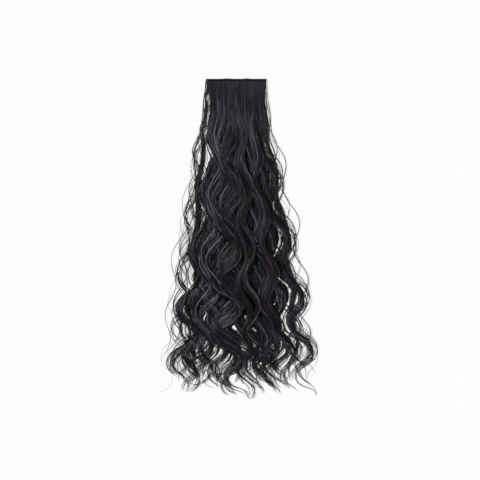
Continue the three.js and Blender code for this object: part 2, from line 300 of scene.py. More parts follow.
class Tree:
    """A geometry node tree with named inputs, whose values are kept until it is put on an object."""

    def __init__(self, name, **inputs):
        self.group = bpy.data.node_groups.new(name, "GeometryNodeTree")
        self.values = {}
        face = self.group.interface
        face.new_socket("Geometry", in_out="INPUT", socket_type="NodeSocketGeometry")
        face.new_socket("Geometry", in_out="OUTPUT", socket_type="NodeSocketGeometry")
        for title, value in inputs.items():
            socket = face.new_socket(title, in_out="INPUT", socket_type=SOCKETS[type(value)])
            self.values[socket.identifier] = value
        self.source = self.group.nodes.new("NodeGroupInput")
        self.sink = self.group.nodes.new("NodeGroupOutput")

    def input(self, title):
        return Field(self.group, self.source.outputs[title])

    def node(self, kind, fed=None, out=0, **settings):
        return add_node(self.group, kind, fed, out, **settings)

    def column(self, name):
        return self.node("GeometryNodeInputNamedAttribute", {"Name": name}, data_type="FLOAT")

    def chance(self, low, high, number, of=None):
        """A random number for each strand. number keeps one draw apart from the next."""
        fed = {2: low, 3: high, "Seed": self.input("Seed") + number}
        if of is not None:
            fed["ID"] = of
        return self.node("FunctionNodeRandomValue", fed, out=1, data_type="FLOAT")

    def varied(self, strand, clump, number, low, high, own=0.2):
        """A random number that a clump's strands nearly share. own is the share that is a strand's own."""
        spread = (high - low) * own / 2
        shared = self.chance(low, high, number, clump)
        return shared + self.chance(-spread, spread, number + OWN_DRAW, strand)

    def vector(self, x, y, z):
        return self.node("ShaderNodeCombineXYZ", {"X": x, "Y": y, "Z": z})

    def place(self):
        """Where each point is now, as x and y."""
        spot = self.node("GeometryNodeInputPosition")
        return [self.node("ShaderNodeSeparateXYZ", {0: spot}, out=axis) for axis in (0, 1)]

    def vectors(self, operation, a, b):
        return self.node("ShaderNodeVectorMath", {0: a, 1: b}, operation=operation)

    def curve(self, value, points):
        """Looks a value up on a line through the points."""
        node = self.group.nodes.new("ShaderNodeFloatCurve")
        line = node.mapping.curves[0].points
        for at, height in points[1:-1]:
            line.new(at, height)
        line[0].location = points[0]
        line[len(line) - 1].location = points[-1]
        node.mapping.update()
        feed(node.inputs["Value"], value)
        return Field(self.group, node.outputs[0])

    def lines(self, points, count, end=(0, -1, 0)):
        """A straight line with this many stations at each of the points."""
        line = self.node("GeometryNodeCurvePrimitiveLine", {"End": end})
        line = self.node("GeometryNodeResampleCurve", {"Curve": line, "Count": count})
        lines = self.node("GeometryNodeInstanceOnPoints", {"Points": points, "Instance": line})
        return self.node("GeometryNodeRealizeInstances", {"Geometry": lines})

    def placed(self, lines, position):
        return self.node("GeometryNodeSetPosition", {"Geometry": lines, "Position": position})

    def moved(self, lines, offset):
        return self.node("GeometryNodeSetPosition", {"Geometry": lines, "Offset": offset})

    def stored(self, lines, name, value):
        """Keeps a number at each point as an attribute, for a later step or for the material."""
        return self.node(
            "GeometryNodeStoreNamedAttribute", {"Geometry": lines, "Name": name, "Value": value},
            data_type="FLOAT", domain="POINT",
        )

    def circle(self, sides, radius):
        return self.node("GeometryNodeCurvePrimitiveCircle", {"Resolution": sides, "Radius": radius})

    def tubes(self, lines, profile, scale):
        """Closed tubes along the lines, whose profile is scaled at each point."""
        tubes = self.node(
            "GeometryNodeCurveToMesh",
            {"Curve": lines, "Profile Curve": profile, "Scale": scale, "Fill Caps": True},
        )
        return self.node("GeometryNodeSetShadeSmooth", {"Geometry": tubes, "Shade Smooth": True})

    def finish(self, geometry, material):
        whole = self.node("GeometryNodeRealizeInstances", {"Geometry": geometry})
        painted = self.node("GeometryNodeSetMaterial", {"Geometry": whole, "Material": material})
        feed(self.sink.inputs["Geometry"], painted)

    def grow(self, name, start, **changed):
        """Runs the tree on a start mesh and returns the result as a plain object."""
        piece = new_object(name, start)
        modifier = piece.modifiers.new("grow", "NODES")
        modifier.node_group = self.group
        sockets = self.group.interface.items_tree
        identifiers = {socket.name: socket.identifier for socket in sockets if socket.in_out == "INPUT"}
        for identifier, value in self.values.items():
            modifier[identifier] = value
        for title, value in changed.items():
            modifier[identifiers[title]] = value
        depsgraph = bpy.context.evaluated_depsgraph_get()
        mesh = bpy.data.meshes.new_from_object(piece.evaluated_get(depsgraph))
        piece.modifiers.remove(modifier)
        piece.data = mesh
        mesh.name = name
        mesh.calc_loop_triangles()
        print(name, len(mesh.loop_triangles), "triangles")
        return piece


print(Tree.__name__, "can be grown into a plain piece")

# %% [markdown]
# Each tree starts from a small table: one point for each row, with a number for each of its columns.

# %% Tables as points


def table_mesh(rows):
    """One vertex for each row, with a number attribute for each of its columns."""
    mesh = bpy.data.meshes.new("rows")
    mesh.from_pydata([(0, 0, 0)] * len(rows), [], [])
    for column in rows[0]:
        values = [float(row[column]) for row in rows]
        mesh.attributes.new(column, "FLOAT", "POINT").data.foreach_set("value", values)
    return mesh


print("a table of locks has the columns", ", ".join(COLUMNS))

# %% [markdown]
# Black hair is never one black. Next to each other lie strands that are cooler or browner, and a few that
# are greyer and catch the light. Each strand carries a number called tone, which picks its colour, and a
# fine noise that is stretched along the hair makes its gloss come and go.

# %% Hair material
HAIR_TONES = [
    (0.0, (0.0012, 0.0011, 0.0016)),
    (0.4, (0.0036, 0.0033, 0.0050)),
    (0.55, (0.0120, 0.0080, 0.0110)),
    (0.75, (0.0200, 0.0187, 0.0255)),
    (0.9, (0.0520, 0.0485, 0.0580)),
    (1.0, (0.1050, 0.1010, 0.1150)),
]
SHEEN_TINT = (0.92, 0.905, 1.0, 1)
MIX_A, MIX_B, MIX_RESULT = 6, 7, 2
TINGE_SCALE = 22
TINGE_FROM, TINGE_TO = 0.45, 0.7
BROWN_TINGE = (1.18, 0.98, 1.05, 1)
STREAK_DETAIL = 3
RELIEF_DEPTH = 0.2 * MM


def tone_color(tree, tones):
    """Reads the tone that each strand carries, and turns it into a colour."""
    ramp = tree.nodes.new("ShaderNodeValToRGB")
    stops = ramp.color_ramp.elements
    while len(stops) < len(tones):
        stops.new(0.5)
    for stop, (at, color) in zip(stops, tones):
        stop.position = at
        stop.color = (*color, 1)
    feed(ramp.inputs["Fac"], add_node(tree, "ShaderNodeAttribute", out="Fac", attribute_name="tone"))
    return Field(tree, ramp.outputs["Color"])


def with_brown_tinge(tree, place, color):
    """Makes the hair a little browner in soft patches."""
    patches = add_node(tree, "ShaderNodeTexNoise", {"Vector": place, "Scale": TINGE_SCALE}, out="Fac")
    fed = {"Factor": patches.smooth(TINGE_FROM, TINGE_TO), MIX_A: color, MIX_B: BROWN_TINGE}
    return add_node(tree, "ShaderNodeMix", fed, out=MIX_RESULT, data_type="RGBA", blend_type="MULTIPLY")


def streak_noise(tree, place, grain):
    """Fine noise, stretched along the hair by a grain that differs along X, Y and Z."""
    stretched = add_node(tree, "ShaderNodeMapping", {"Vector": place, "Scale": grain})
    fed = {"Vector": stretched, "Scale": 1, "Detail": STREAK_DETAIL}
    return add_node(tree, "ShaderNodeTexNoise", fed, out="Fac")


def streaked_material(name, tones, roughness, gloss, grain, bump, more=None):
    """Colour by each strand's tone, with roughness and relief in streaks that run down the hair."""
    material, shader = new_material(name)
    dial(shader, {"Specular IOR Level": gloss, "Specular Tint": SHEEN_TINT, **(more or {})})
    tree = material.node_tree
    place = add_node(tree, "ShaderNodeTexCoord", out="Object")
    streaks = streak_noise(tree, place, grain)
    spread = {"Value": streaks, "To Min": roughness[0], "To Max": roughness[1]}
    relief = {"Height": streaks, "Strength": bump, "Distance": RELIEF_DEPTH}
    feed(shader.inputs["Base Color"], with_brown_tinge(tree, place, tone_color(tree, tones)))
    feed(shader.inputs["Roughness"], add_node(tree, "ShaderNodeMapRange", spread))
    feed(shader.inputs["Normal"], add_node(tree, "ShaderNodeBump", relief))
    return material


hair_material = streaked_material(
    "hair strands", HAIR_TONES, roughness=(0.24, 0.48), gloss=0.45, grain=(900, 160, 900), bump=0.25,
)
under_material = streaked_material(
    "hair underneath", HAIR_TONES, roughness=(0.45, 0.7), gloss=0.25, grain=(2200, 60, 900), bump=0.8,
)
print(len(HAIR_TONES), "tones for", hair_material.name, "and", under_material.name)

# %% [markdown]
# The path of a tress is the main formula. It moves every point of a straight line to where it belongs:
# down the hair, out along the fan, and from side to side in waves. The strands of a tress leave that path
# a little, each in its own way, and meet again at the tip, which gives the pointed hooks that curled hair
# ends in.

# %% The path of a tress
TIP_STEPS = 0.45
TIP_MEETING = 0.85
LATE_POWER = 4.0
CURL_POWER = 5.0
PAST_THE_SOLIDS = 9 * MM
REACH = SOLID_BOX[1][0] + PAST_THE_SOLIDS
REACH_SOFT = 30 * MM
ROUNDER = math.tau / 8
QUARTER = 0.25


def hair_path(tree, own):
    """Sets down the middle line of a tress and returns the numbers that its strands need."""
    even = tree.node("GeometryNodeSplineParameter")
    share = even + even * (1 - even) * TIP_STEPS
    late = share ** LATE_POWER
    length = tree.column("drop") * own["length"] * tree.input("Drop")
    drop = share * length
    down = drop / HAIR_DROP
    start = tree.column("root") * ROOT_HALF
    end = tree.column("tip") * (HAIR_SPREAD / 2) + HAIR_LEAN
    fan = drop.smooth(FAN_START, FAN_FULL)
    grown = drop.smooth(WAVE_START, WAVE_FULL)
    gain = down ** 2.0 * tree.input("Gain") + 1
    meeting = 1 - late * TIP_MEETING
    swing = tree.column("swing") * (own["swing"] * meeting + 1) * tree.input("Swing") * grown * gain
    bow = tree.column("bow") * tree.input("Swing") * (share * 0.5).wave()
    tighter = down ** CURL_POWER * tree.input("Curl")
    own_turn = (own["turn"] + own["drift"] * share) * meeting
    turn = drop / tree.input("Wave") + tighter - tree.column("turn") + own_turn
    flick = (tree.column("flick") + own["hook"]) * TIP_FLICK * share.smooth(FLICK_START, 1)
    x = start + (end - start) * fan + bow + swing * turn.wave() + flick + EDGE_X
    x = x.math("SMOOTH_MIN", REACH, REACH_SOFT).math("SMOOTH_MAX", -REACH, REACH_SOFT)
    lying = SEAT * (1 - drop.smooth(RIBBON_END, HAIR_SETTLE))
    hump = grown * (1 - share.smooth(LIFT_END, 1))
    bob = (turn + QUARTER).wave() * 0.5 + 0.5
    z = lying + tree.column("lift") * LOCK_THICK * hump + bob * tree.input("Bob") * grown
    rounder = swing * swing / tree.input("Wave") * ROUNDER * (turn * 2).wave()
    y = tree.input("Edge") - drop + rounder
    along = drop / (tree.column("drop") * HAIR_DROP)
    point = tree.vector(x, y, z)
    return {"share": share, "along": along, "late": late, "drop": drop, "grown": grown, "point": point}


print("the hair may reach", round(REACH / MM), "mm to either side of the middle")

# %% [markdown]
# Hair parts here and there, and shows the table between two tresses. Each parting is a row, in
# millimetres: how far it lies to the right of the weft's middle and below its edge, and half its height
# and half its width. What comes near is pushed to the side that it is on already.

# %% Partings
PARTINGS = [
    (-49.0, 34.0, 9.0, 2.4),
    (-57.0, 88.0, 12.0, 2.6),
    (14.0, 470.0, 15.0, 3.4),
    (76.0, 366.0, 14.0, 4.0),
]
PARTING_REACH = 0.1
PARTING_STEEP = 2.5


def parted(tree, lines):
    """Pushes the lines aside at each parting. Also returns how near to one a point is, from 0 to 1."""
    x, y = tree.place()
    push, nearest = x * 0.0, x * 0.0
    for at, below, tall, wide in PARTINGS:
        aside = (x - (EDGE_X + at * MM)) / (wide * MM)
        down = (y - (EDGE_Y - below * MM)) / (tall * MM)
        near = (aside * aside * -PARTING_REACH - down * down).math("EXPONENT")
        push += (aside * PARTING_STEEP).math("TANH") * near * (wide * MM)
        nearest = nearest.math("MAXIMUM", near)
    return tree.moved(lines, tree.vector(push, 0.0, 0.0)), nearest


print(len(PARTINGS), "partings")

# %% [markdown]
# The strands are the main piece, and one tree makes them all. It starts from a table with a row for each
# tress and draws as many lines for a row as its column strands says. Each strand has its own length and a
# little of its own will, and so has each clump of a few strands, because hair sticks together.

# %% What a strand has of its own
CLUMP = 5
OWN_MOST = {"swing": 0.25, "turn": 0.07, "drift": 0.12, "hook": 0.3}


def own_ways(tree, strand, clump):
    """What sets a strand apart from the path of its tress. Only a few strands are much shorter."""
    shorter = tree.varied(strand, clump, 1, 0, 1).math("MAXIMUM", 0.0) ** LATE_POWER
    own = {"length": 1 - shorter * tree.input("Layering")}
    for number, (way, most) in enumerate(OWN_MOST.items(), 2):
        own[way] = tree.varied(strand, clump, number, -most, most) * tree.input("Variety")
    return own


print("clumps of", CLUMP, "strands")

# %% [markdown]
# Inside its tress a strand keeps a place, from -1 at one edge to 1 at the other, and a level above the
# table. Both wander on the way down, so that clumps cross and dive under each other, and they draw
# together towards the tip. A few strands stray far to the side. At the roots all strands have nearly one
# tone, as the hair is pressed flat there. That tone is a painted sheen, lighter than most strands, with
# painted shade that makes it darker on the left than on the right.

# %% A strand's place in its tress
STRAND_RADIUS = 0.3 * MM
TIP_GATHER = 0.85
CLUMP_GATHER = 0.5
WANDER = 0.25
WANDER_TURNS = (0.5, 2.0)
GATHER_POWER = 3.0
STRAY_POWER = 10
CROWN = 0.75
CROWN_LEAST = 0.05
DIVE = 0.4
DIVE_TURNS = (1.5, 4.0)
LEVEL_LEAST = 0.02
# Painted sheen: the tone at the roots is lighter than most strands. Painted shade: the slope makes it
# darker on the left and lighter on the right.
PAINTED_ROOT_SHEEN = 0.66
PAINTED_ROOT_SHADE_SLOPE = 0.08
ROOT_CONTRAST = 0.25
TONE_START, TONE_FULL = 20 * MM, 60 * MM
OWN_TONE = 0.35


def strand_offset(tree, path, strand, clump):
    """How far a strand lies beside and above the middle line of its tress."""
    share, girth = path["share"], tree.column("girth")
    wide = tree.curve(path["along"], WIDTH_TAPER) * girth * tree.input("Width")
    thick = tree.curve(path["along"], DEPTH_TAPER) * girth * tree.input("Thick")
    wander = (share * tree.chance(*WANDER_TURNS, 6, clump) + tree.chance(0, 1, 7, clump)).wave() * WANDER
    stray = tree.chance(0, 1, 8, strand) ** STRAY_POWER * tree.input("Stray") * path["grown"] + 1
    own_place = tree.chance(-1, 1, 60, strand) * tree.input("Own") * stray * (1 - path["late"] * TIP_GATHER)
    gathered = 1 - share ** GATHER_POWER * CLUMP_GATHER
    place = (tree.chance(-1, 1, 9, clump) + wander) * gathered + own_place
    aside = tree.vectors("CROSS_PRODUCT", tree.node("GeometryNodeInputTangent"), (0, 0, 1))
    aside = tree.node("ShaderNodeVectorMath", {0: aside}, operation="NORMALIZE")
    shift = tree.node("ShaderNodeVectorMath", {0: aside, "Scale": place * wide * 0.5}, operation="SCALE")
    crown = (1 - place * place * CROWN * path["grown"]).math("MAXIMUM", CROWN_LEAST)
    dive = (share * tree.chance(*DIVE_TURNS, 13, clump) + tree.chance(0, 1, 14, clump)).wave() * DIVE
    level = (tree.varied(strand, clump, 10, 0, 1) + dive).math("MAXIMUM", LEVEL_LEAST).math("MINIMUM", 1.0)
    rise = level * thick * crown + tree.input("Radius")
    return tree.vectors("ADD", shift, tree.vector(0.0, 0.0, rise))


def strand_tone_and_painted_sheen(tree, path, strand, clump):
    contrast = path["drop"].smooth(TONE_START, TONE_FULL) * (1 - ROOT_CONTRAST) + ROOT_CONTRAST
    # The roots take a painted sheen, lighter than most strands, and painted shade that darkens their left
    # side.
    painted_root_sheen = tree.column("root") * PAINTED_ROOT_SHADE_SLOPE + PAINTED_ROOT_SHEEN
    return (tree.varied(strand, clump, 11, 0, 1, OWN_TONE) - painted_root_sheen) * contrast + painted_root_sheen


print("strands", STRAND_RADIUS * 2 / MM, "mm thick")

# %% [markdown]
# The tree itself now reads as a recipe: draw the lines, lay them along the path, spread them across the
# tress, part them, give them their tone and wrap a tube round each. Three sides are round enough here, as
# a strand is narrower than a pixel, and they keep a few thousand strands light.

# %% Strand tree
STATIONS = 48
LOOSE_STATIONS = 72
SIDES = 3
STRAND_BOB = 6 * MM
UNDER_FOLDS = 3 * MM
PATH_SIZES = {
    "Drop": HAIR_DROP, "Wave": WAVE_LENGTH, "Swing": WAVE_SWING, "Gain": SWING_GAIN, "Curl": TIP_CURL,
    "Edge": EDGE_Y - UNDER_FOLDS,
}
STRAND_TAPER = [(0, 0.9), (0.85, 1.0), (0.97, 0.75), (1, 0.2)]
THINNEST, THICKEST = 0.7, 1.3


def strand_tree():
    tree = Tree(
        "strands", **PATH_SIZES, Bob=STRAND_BOB, Width=LOCK_WIDTH, Thick=LOCK_THICK, Radius=STRAND_RADIUS,
        Clump=CLUMP, Layering=0.45, Variety=1.0, Own=0.08, Stray=6.0, Stations=STATIONS, Seed=1,
        Material=hair_material,
    )
    points = tree.node(
        "GeometryNodeDuplicateElements",
        {"Geometry": tree.input("Geometry"), "Amount": tree.column("strands")}, domain="POINT",
    )
    lines = tree.lines(points, tree.input("Stations"))
    strand = tree.node("GeometryNodeCurveOfPoint")
    clump = (strand / tree.input("Clump")).math("FLOOR")
    path = hair_path(tree, own_ways(tree, strand, clump))
    lines = tree.placed(lines, path["point"])
    lines = tree.moved(lines, strand_offset(tree, path, strand, clump))
    lines, _ = parted(tree, lines)
    lines = tree.stored(lines, "tone", strand_tone_and_painted_sheen(tree, path, strand, clump))
    thin = tree.curve(path["share"], STRAND_TAPER) * tree.chance(THINNEST, THICKEST, 12, strand)
    tubes = tree.tubes(lines, tree.circle(SIDES, 1.0), thin * tree.input("Radius"))
    tree.finish(tubes, tree.input("Material"))
    return tree


strands = strand_tree()
print(len(strands.group.nodes), "nodes in the strand tree")

# %% [markdown]
# Under the strands that show lie hundreds that don't. Making them one by one would cost a million
# triangles and no one would see them, so each tress gets one dark band below its strands. It follows the
# same path, thick in the middle and thin at its edges, and closes the view to the table as a full head of
# hair does. Where the hair parts, it is narrow.

# %% Bands underneath
BAND_SIDES = 6
BAND_WIDTH = 32 * MM
BAND_FLAT = 0.22
BAND_PARTED = 0.85
BAND_BOB = 2 * MM
BAND_CLEARANCE = 0.3 * MM
BAND_LENGTH = (0.93, 0.97)
BAND_MOST = {"swing": 0.05, "turn": 0.02, "drift": 0.02, "hook": 0.1}
BAND_TAPER = [(0, 0.5), (0.2, 0.62), (0.5, 0.9), (0.75, 0.95), (0.9, 0.6), (1, 0.05)]


def band_tree():
    sizes = dict(PATH_SIZES, Bob=BAND_BOB, Width=BAND_WIDTH, Flat=BAND_FLAT)
    tree = Tree("bands", **sizes, Seed=1, Material=under_material)
    lines = tree.lines(tree.input("Geometry"), STATIONS)
    band = tree.node("GeometryNodeCurveOfPoint")
    own = {"length": tree.chance(*BAND_LENGTH, 1, band)}
    for number, (way, most) in enumerate(BAND_MOST.items(), 2):
        own[way] = tree.chance(-most, most, number, band)
    path = hair_path(tree, own)
    lines = tree.placed(lines, path["point"])
    lines, near = parted(tree, lines)
    lines = tree.stored(lines, "near", near)
    full = tree.curve(path["share"], BAND_TAPER) * tree.column("girth") * tree.input("Width")
    wide = full * (1 - tree.column("near") * BAND_PARTED)
    deep = wide * 0.5 * tree.input("Flat") + BAND_CLEARANCE
    lines = tree.moved(lines, tree.vector(0.0, 0.0, deep))
    lines = tree.node("GeometryNodeSetCurveNormal", {"Curve": lines}, mode="Z_UP")
    flat = tree.vector(1.0, tree.input("Flat"), 1.0)
    profile = tree.node("GeometryNodeTransform", {"Geometry": tree.circle(BAND_SIDES, 0.5), "Scale": flat})
    tree.finish(tree.tubes(lines, profile, wide), tree.input("Material"))
    return tree


bands = band_tree()
print(len(bands.group.nodes), "nodes in the band tree")

# %% [markdown]
# A lock of hair isn't one bundle. It is made of a few tresses that lie side by side at the weft and drift
# apart on their way down, each a little out of step with the next. So each row of the table is split into
# four. The outermost locks draw the outline, so their tresses keep closer to their row and their tips
# don't flick aside.

# %% Tresses
TRESSES_PER_LOCK = 4
TRESS_GIRTH = 0.5
ROOT_APART = 0.11
TIP_APART = 0.09
OUTER_ROOT = 0.9
OUTER_EASE = 0.5
STRANDS_PER_TRESS = 42
FULL_TRESS_GIRTH = 1.4


def split_lock(row, draw):
    """The tresses of one lock, side by side at its root and drifting apart towards its tip."""
    rows = []
    outer = abs(row["root"]) > OUTER_ROOT
    ease = OUTER_EASE if outer else 1
    flick_ease = 0 if outer else 1
    for k in range(TRESSES_PER_LOCK):
        side = (k + 0.5) / TRESSES_PER_LOCK * 2 - 1
        rows.append({
            **row,
            "root": row["root"] + side * ROOT_APART,
            "tip": row["tip"] + side * TIP_APART * row["girth"] + draw.uniform(-0.03, 0.03),
            "drop": row["drop"] * draw.uniform(0.95, 1.01),
            "swing": row["swing"] * (1 + ease * draw.uniform(-0.2, 0.15)),
            "girth": row["girth"] * TRESS_GIRTH,
            "turn": row["turn"] + ease * draw.uniform(-0.1, 0.1),
            "lift": row["lift"] + draw.uniform(0, 0.4),
            "flick": flick_ease * (row["flick"] + draw.uniform(-1.0, 1.0)),
            "strands": round(STRANDS_PER_TRESS * min(1, row["girth"] * FULL_TRESS_GIRTH)),
        })
    return rows


draw = random.Random(4)
locks = [dict(zip(COLUMNS, lock)) for lock in LOCKS]
print(TRESSES_PER_LOCK, "tresses in each of", len(locks), "locks")

# %% [markdown]
# The tresses are grown in five pieces, so that none gets too heavy: left, middle, right, those that lie
# over them, and the dark bands under them all. The two thin locks outside wait for a later step. Two more
# tresses with small waves fill the body's edges.

# %% The body of the hair
THIN_GIRTH = 0.3
THIN_STRANDS_LEFT = 5
THIN_STRANDS_RIGHT = 3
LEFT_END, RIGHT_START = -0.5, 0.4
EDGE_TRESSES = [
    (-1.04, -0.64, 0.95, 0.26, 0.35, 0.01, 0.1, -0.3, -1.35),
    (0.92, 0.88, 0.95, 0.39, 0.35, 0.23, 0.1, -0.3, 1.50),
]
EDGE_STRANDS = 28
GROUP_VARIETY = {"left": 0.7, "middle": 1.0, "right": 0.7, "over": 1.0}


def group_of(row):
    """The piece that a lock's tresses belong to."""
    if row["lift"]:
        return "over"
    if row["root"] < LEFT_END:
        return "left"
    return "right" if row["root"] > RIGHT_START else "middle"


def grow_hair(name, rows, **changed):
    hair_pieces.append(strands.grow("hair_" + name, table_mesh(rows), **changed))


thin_locks = [row for row in locks if row["girth"] <= THIN_GIRTH]
thin_rows = [tress for row in thin_locks for tress in split_lock(row, draw)]
for row in thin_rows:
    row["strands"] = THIN_STRANDS_LEFT if row["root"] < 0 else THIN_STRANDS_RIGHT
groups = {side: [] for side in GROUP_VARIETY}
for row in locks:
    if row["girth"] > THIN_GIRTH:
        groups[group_of(row)] += split_lock(row, draw)
for tress in EDGE_TRESSES:
    row = {**dict(zip(COLUMNS, tress)), "strands": EDGE_STRANDS}
    groups["left" if row["root"] < 0 else "right"].append(row)
every_tress = [tress for rows in groups.values() for tress in rows]
hair_pieces = [bands.grow("hair_under", table_mesh(every_tress))]
for number, (side, rows) in enumerate(groups.items(), 1):
    grow_hair(side, rows, Seed=100 * number, Variety=GROUP_VARIETY[side])

# %% [markdown]
# The ends curl more tightly than the rest, because the curling iron holds them longest. Thin tresses of
# their own show it: they run hidden in the mass, swing wider as they come down, and hook round where it
# ends. The strongest of these hooks are listed one row each, and random ones fill in between.

# %% Curled ends
LOOSE_COLUMNS = ("root", "tip", "drop", "swing", "turn", "flick", "bow", "girth", "strands")
HOOKS = [
    (-1.00, -0.99, 0.87, 0.75, 0.05, -0.5, -1.4, 0.20, 16),
    (-0.55, -0.47, 0.98, 0.36, 0.60, -2.0, -0.8, 0.22, 16),
    (-0.40, -0.34, 0.98, 0.35, 0.64, -2.0, -1.8, 0.22, 16),
    (-0.20, -0.27, 0.96, 0.24, 0.18, 1.7, -0.4, 0.30, 20),
    (0.00, -0.04, 0.98, 0.27, 0.20, 2.0, -1.7, 0.28, 18),
    (0.20, 0.22, 0.99, 0.46, 0.25, 2.0, -2.0, 0.26, 16),
    (0.80, 0.79, 0.96, 0.95, 0.30, 2.0, -0.5, 0.18, 12),
    (0.95, 1.02, 0.96, 0.96, 0.48, -0.6, 1.3, 0.20, 12),
]
HAND_SET_LIFT = 0.1
CURLED_ENDS = 12
CURL_STRANDS = 10
CURL_ROOTS, CURL_TIPS = 0.9, 0.96


def curl_rows(draw):
    """Random curled ends, spread evenly across the hair."""
    rows = []
    for k in range(CURLED_ENDS):
        place = (k + 0.5) / CURLED_ENDS * 2 - 1
        rows.append({
            "root": place * CURL_ROOTS,
            "tip": place * CURL_TIPS + draw.uniform(-0.06, 0.06),
            "drop": draw.uniform(0.9, 0.99),
            "swing": draw.uniform(0.6, 1.0),
            "girth": draw.uniform(0.1, 0.24),
            "turn": draw.random(),
            "lift": draw.uniform(0, 0.8),
            "flick": draw.uniform(-0.9, 0.9),
            "bow": 0,
            "strands": CURL_STRANDS,
        })
    return rows


def hand_set(table):
    """The rows of a table that is listed one row each."""
    return [{**dict(zip(LOOSE_COLUMNS, line)), "lift": HAND_SET_LIFT} for line in table]


grow_hair("hooks", hand_set(HOOKS), Seed=600, Variety=0.4, Layering=0.06, Own=0.2, Clump=8)
grow_hair(
    "curls", curl_rows(draw), Seed=700, Gain=1.3, Curl=0.6, Variety=0.2, Layering=0.08, Own=0.6, Clump=10,
    Stations=LOOSE_STATIONS,
)

# %% [markdown]
# What gives the photographed hair its life is what has come away from it: thin tresses that bow out of
# the outline, cross it again and end in curls. They are listed one row each, with bow as a
# sideways bend counted in swings, as in the table of locks. Single hairs drawn at random join them.

# %% Loose tresses
LOOSE = [
    (-1.12, -0.80, 0.95, 0.50, 0.45, -0.3, -2.0, 0.12, 24),
    (-1.06, -0.10, 0.90, 1.20, 0.39, 0.4, -2.8, 0.08, 14),
    (-0.98, -0.88, 0.92, 0.80, 0.16, 0.8, 0.0, 0.16, 21),
    (-1.04, -0.92, 0.84, 0.90, 0.42, 0.3, -1.6, 0.04, 4),
    (-1.08, -0.94, 0.90, 1.00, 0.50, -0.3, -0.9, 0.08, 7),
    (-1.06, -1.13, 0.90, 0.55, 0.20, -0.4, -1.9, 0.04, 5),
    (-1.08, -0.98, 0.95, 0.80, 0.20, 0.5, -1.0, 0.05, 5),
    (-1.00, -0.92, 0.98, 1.00, 0.08, -0.2, 0.8, 0.12, 14),
    (-1.04, -1.10, 0.70, 0.80, 0.62, 0.5, -1.4, 0.03, 3),
    (-0.98, -0.86, 0.92, 0.60, 0.42, 0.4, -0.2, 0.20, 21),
    (1.08, 0.98, 0.93, 0.60, 0.00, -0.3, 0.6, 0.16, 21),
    (0.90, 0.86, 0.94, 0.70, 0.80, 0.5, 0.1, 0.22, 24),
    (0.84, 0.90, 0.98, 0.90, 0.36, -0.3, 0.0, 0.40, 32),
    (0.88, 1.00, 1.00, 0.80, 0.28, 0.6, 0.0, 0.20, 16),
    (1.06, 1.05, 0.93, 0.74, 0.08, -0.3, 2.5, 0.05, 7),
    (1.08, 1.08, 0.90, 1.10, 0.23, -0.3, 0.9, 0.06, 6),
    (1.10, 1.16, 0.95, 0.90, 0.45, 0.3, 0.6, 0.05, 5),
    (1.02, 1.14, 1.00, 1.20, 0.36, -0.5, 0.2, 0.14, 14),
    (1.06, 1.10, 0.70, 0.90, 0.80, 0.4, 1.0, 0.03, 3),
]
FLYAWAYS = 28
FLYAWAY_RADIUS = 0.28 * MM


def flyaway_rows(draw):
    """Single hairs, on the left and the right by turns."""
    rows = []
    for k in range(FLYAWAYS):
        side = 1 if k % 2 else -1
        rows.append({
            "root": side * draw.uniform(0.6, 1.1),
            "tip": side * draw.uniform(0.5, 1.1),
            "drop": draw.uniform(0.6, 1.02),
            "swing": draw.uniform(0.7, 1.5),
            "turn": draw.random(),
            "flick": draw.uniform(-1, 1),
            "bow": side * draw.uniform(-0.2, 1.2),
            "girth": 0.1,
            "lift": draw.uniform(0, 1),
            "strands": 1,
        })
    return rows


grow_hair(
    "loose", hand_set(LOOSE), Seed=900, Variety=0.25, Layering=0.12, Own=0.12, Stray=1.0, Clump=7,
    Stations=LOOSE_STATIONS,
)
grow_hair(
    "thin_locks", thin_rows, Seed=930, Variety=0.4, Layering=0.2, Own=0.3, Stray=1.0, Clump=12,
    Stations=LOOSE_STATIONS,
)
grow_hair("flyaway", flyaway_rows(draw), Seed=950, Radius=FLYAWAY_RADIUS, Stations=LOOSE_STATIONS)

# %% [markdown]
# A close look at the sewn edge shows how it is made: the hair is folded over a core, and each fold goes
# from the front over the top and down behind. Two rows of stitches hold the folds. Folds, stitches and
# the thread that ties the clips are all short arches of a thin round line, so one tree makes them all: a
# row gives where an arch starts, where it goes and how it bulges on its way.

# %% Arch tree
ARCH_POINTS = 12
ARCH_SIDES = 5


def arch_tree():
    tree = Tree("arches", Roundness=1.0, Material=hair_material)
    lines = tree.lines(tree.input("Geometry"), ARCH_POINTS, end=(1, 0, 0))
    even = tree.node("GeometryNodeSplineParameter")
    bulge = (even * 0.5).wave().math("MAXIMUM", 0.0) ** tree.input("Roundness")
    start = tree.vector(tree.column("x"), tree.column("y"), tree.column("z"))
    over = [tree.column(column) * even for column in ("over_x", "over_y", "over_z")]
    aside = tree.vector(0.0, tree.column("bulge_y") * bulge, tree.column("bulge_z") * bulge)
    place = tree.vectors("ADD", tree.vectors("ADD", start, tree.vector(*over)), aside)
    lines = tree.placed(lines, place)
    tubes = tree.tubes(lines, tree.circle(ARCH_SIDES, 1.0), tree.column("radius"))
    tree.finish(tubes, tree.input("Material"))
    return tree


def arch(x, y, z, over=(0, 0, 0), bulge=(0, 0), radius=0.2, tone=0.0):
    """One row of the table, given in millimetres. bulge is how far the arch swells along Y and Z."""
    columns = ("x", "y", "z", "over_x", "over_y", "over_z", "bulge_y", "bulge_z", "radius")
    row = {column: value * MM for column, value in zip(columns, (x, y, z, *over, *bulge, radius))}
    return {**row, "tone": tone}


arches = arch_tree()
print(len(arches.group.nodes), "nodes in the arch tree")

# %% [markdown]
# The edge is not quite straight: where most hair is folded in, it rises by a millimetre. That comes from
# the same two bumps as in the solid. The core is a rounded bar below the folds, so no light comes through
# between them.

